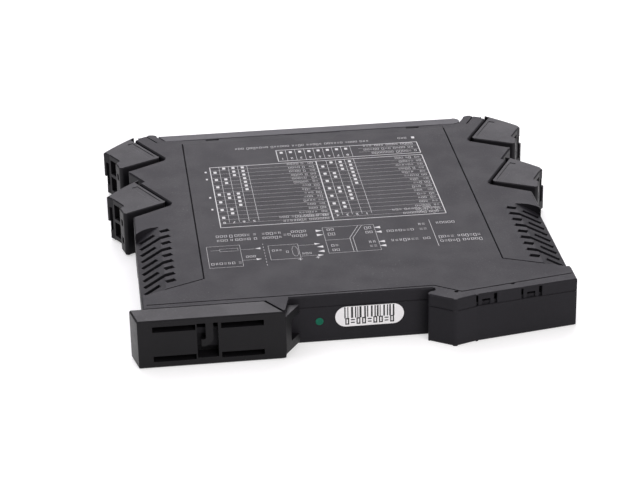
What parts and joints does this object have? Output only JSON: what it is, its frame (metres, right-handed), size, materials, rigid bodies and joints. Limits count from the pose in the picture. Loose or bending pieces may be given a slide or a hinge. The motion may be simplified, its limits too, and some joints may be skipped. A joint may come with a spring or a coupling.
{
  "type": "signal converter",
  "caption": "Slim rail-mounted signal converter in a vented plastic housing with plug-in screw terminals, a hinged front flap over small switches and a sliding rail foot.",
  "frame": {"origin": "middle of the lower side face, on the rail's centre line along X and midway between the outer face of the rail foot and the tips of the front shoulders along Y", "axes": "+X along the height of the installed module, away from the rail foot; +Y from the rail to the front flap; +Z through the thickness, up from the side that the module lies on"},
  "size_m": [0.1172, 0.1136, 0.0125],
  "materials": {
    "housing": "fine-textured black",
    "foot": "fine-textured black",
    "flap": "satin dark grey",
    "plug": "fine-textured black",
    "socket": "satin black",
    "contact": "tinned",
    "pin": "tinned",
    "screw": "zinc plated",
    "cage": "zinc plated",
    "board": "green solder resist",
    "ferrite": "sintered",
    "winding": "yellow winding tape",
    "capacitor": "shrink sleeve",
    "chip": "moulded",
    "light": "clear green",
    "switch": "moulded red",
    "slider": "moulded white",
    "label": "white film",
    "dot": "green paint"
  },
  "bodies": {
    "module": {"base_shell": "housing", "cover_shell": "housing", "terminal_plug_1": "plug", "terminal_plug_2": "plug", "terminal_plug_3": "plug", "terminal_plug_4": "plug", "clamp_contacts_1": "contact", "clamp_contacts_2": "contact", "clamp_contacts_3": "contact", "clamp_contacts_4": "contact", "plug_socket_1": "socket", "plug_socket_2": "socket", "plug_socket_3": "socket", "plug_socket_4": "socket", "socket_pins_1": "pin", "socket_pins_2": "pin", "socket_pins_3": "pin", "socket_pins_4": "pin", "circuit_board": "board", "transformer_core": "ferrite", "transformer_winding": "winding", "capacitors": "capacitor", "chips": "chip", "status_light": "light", "dip_switch_body": "switch", "serial_label": "label", "test_dot": "dot"},
    "foot": {"rail_foot": "foot"},
    "flap": {"front_flap": "flap"},
    "screw_1": {"clamp_screw_1": "screw"},
    "screw_2": {"clamp_screw_2": "screw"},
    "screw_3": {"clamp_screw_3": "screw"},
    "screw_4": {"clamp_screw_4": "screw"},
    "screw_5": {"clamp_screw_5": "screw"},
    "screw_6": {"clamp_screw_6": "screw"},
    "screw_7": {"clamp_screw_7": "screw"},
    "screw_8": {"clamp_screw_8": "screw"},
    "cage_1": {"clamp_cage_1": "cage"},
    "cage_2": {"clamp_cage_2": "cage"},
    "cage_3": {"clamp_cage_3": "cage"},
    "cage_4": {"clamp_cage_4": "cage"},
    "cage_5": {"clamp_cage_5": "cage"},
    "cage_6": {"clamp_cage_6": "cage"},
    "cage_7": {"clamp_cage_7": "cage"},
    "cage_8": {"clamp_cage_8": "cage"},
    "slider_1": {"dip_slider_1": "slider"},
    "slider_2": {"dip_slider_2": "slider"},
    "slider_3": {"dip_slider_3": "slider"},
    "slider_4": {"dip_slider_4": "slider"},
    "slider_5": {"dip_slider_5": "slider"},
    "slider_6": {"dip_slider_6": "slider"},
    "slider_7": {"dip_slider_7": "slider"},
    "slider_8": {"dip_slider_8": "slider"}
  },
  "joints": [
    {"name": "flap_hinge", "type": "hinge", "parent": "module", "child": "flap", "pos_m": [0.0402, 0.05428, 0.00625], "axis": [0, 0, -1], "range_deg": [0, 105]},
    {"name": "foot_slide", "type": "slide", "parent": "module", "child": "foot", "axis": [-1, 0, 0], "range_m": [0, 0.0035], "stiffness_N_per_m": 2500},
    {"name": "screw_turn_1", "type": "hinge", "parent": "module", "child": "screw_1", "pos_m": [0.05497, 0.05051, 0.00375], "axis": [-0.4741, -0.8805, 0], "range_deg": [0, 1586]},
    {"name": "cage_lift_1", "type": "slide", "parent": "module", "child": "cage_1", "axis": [0.4741, 0.8805, 0], "range_m": [0, 0.0022]},
    {"name": "screw_turn_2", "type": "hinge", "parent": "module", "child": "screw_2", "pos_m": [0.05497, 0.05051, 0.00875], "axis": [-0.4741, -0.8805, 0], "range_deg": [0, 1586]},
    {"name": "cage_lift_2", "type": "slide", "parent": "module", "child": "cage_2", "axis": [0.4741, 0.8805, 0], "range_m": [0, 0.0022]},
    {"name": "screw_turn_3", "type": "hinge", "parent": "module", "child": "screw_3", "pos_m": [0.05497, 0.02051, 0.00375], "axis": [-0.4741, -0.8805, 0], "range_deg": [0, 1586]},
    {"name": "cage_lift_3", "type": "slide", "parent": "module", "child": "cage_3", "axis": [0.4741, 0.8805, 0], "range_m": [0, 0.0022]},
    {"name": "screw_turn_4", "type": "hinge", "parent": "module", "child": "screw_4", "pos_m": [0.05497, 0.02051, 0.00875], "axis": [-0.4741, -0.8805, 0], "range_deg": [0, 1586]},
    {"name": "cage_lift_4", "type": "slide", "parent": "module", "child": "cage_4", "axis": [0.4741, 0.8805, 0], "range_m": [0, 0.0022]},
    {"name": "screw_turn_5", "type": "hinge", "parent": "module", "child": "screw_5", "pos_m": [-0.05497, 0.05051, 0.00875], "axis": [0.4741, -0.8805, 0], "range_deg": [0, 1586]},
    {"name": "cage_lift_5", "type": "slide", "parent": "module", "child": "cage_5", "axis": [-0.4741, 0.8805, 0], "range_m": [0, 0.0022]},
    {"name": "screw_turn_6", "type": "hinge", "parent": "module", "child": "screw_6", "pos_m": [-0.05497, 0.05051, 0.00375], "axis": [0.4741, -0.8805, 0], "range_deg": [0, 1586]},
    {"name": "cage_lift_6", "type": "slide", "parent": "module", "child": "cage_6", "axis": [-0.4741, 0.8805, 0], "range_m": [0, 0.0022]},
    {"name": "screw_turn_7", "type": "hinge", "parent": "module", "child": "screw_7", "pos_m": [-0.05497, 0.02051, 0.00875], "axis": [0.4741, -0.8805, 0], "range_deg": [0, 1586]},
    {"name": "cage_lift_7", "type": "slide", "parent": "module", "child": "cage_7", "axis": [-0.4741, 0.8805, 0], "range_m": [0, 0.0022]},
    {"name": "screw_turn_8", "type": "hinge", "parent": "module", "child": "screw_8", "pos_m": [-0.05497, 0.02051, 0.00375], "axis": [0.4741, -0.8805, 0], "range_deg": [0, 1586]},
    {"name": "cage_lift_8", "type": "slide", "parent": "module", "child": "cage_8", "axis": [-0.4741, 0.8805, 0], "range_m": [0, 0.0022]},
    {"name": "slider_move_1", "type": "slide", "parent": "module", "child": "slider_1", "axis": [0, 0, 1], "range_m": [0, 0.0014]},
    {"name": "slider_move_2", "type": "slide", "parent": "module", "child": "slider_2", "axis": [0, 0, 1], "range_m": [0, 0.0014]},
    {"name": "slider_move_3", "type": "slide", "parent": "module", "child": "slider_3", "axis": [0, 0, 1], "range_m": [0, 0.0014]},
    {"name": "slider_move_4", "type": "slide", "parent": "module", "child": "slider_4", "axis": [0, 0, 1], "range_m": [0, 0.0014]},
    {"name": "slider_move_5", "type": "slide", "parent": "module", "child": "slider_5", "axis": [0, 0, 1], "range_m": [0, 0.0014]},
    {"name": "slider_move_6", "type": "slide", "parent": "module", "child": "slider_6", "axis": [0, 0, 1], "range_m": [0, 0.0014]},
    {"name": "slider_move_7", "type": "slide", "parent": "module", "child": "slider_7", "axis": [0, 0, 1], "range_m": [0, 0.0014]},
    {"name": "slider_move_8", "type": "slide", "parent": "module", "child": "slider_8", "axis": [0, 0, 1], "range_m": [0, 0.0014]}
  ],
  "couplings": [
    {"joint": "screw_turn_1", "follows": "cage_lift_1", "rad_per_m": 12566},
    {"joint": "screw_turn_2", "follows": "cage_lift_2", "rad_per_m": 12566},
    {"joint": "screw_turn_3", "follows": "cage_lift_3", "rad_per_m": 12566},
    {"joint": "screw_turn_4", "follows": "cage_lift_4", "rad_per_m": 12566},
    {"joint": "screw_turn_5", "follows": "cage_lift_5", "rad_per_m": 12566},
    {"joint": "screw_turn_6", "follows": "cage_lift_6", "rad_per_m": 12566},
    {"joint": "screw_turn_7", "follows": "cage_lift_7", "rad_per_m": 12566},
    {"joint": "screw_turn_8", "follows": "cage_lift_8", "rad_per_m": 12566}
  ]
}
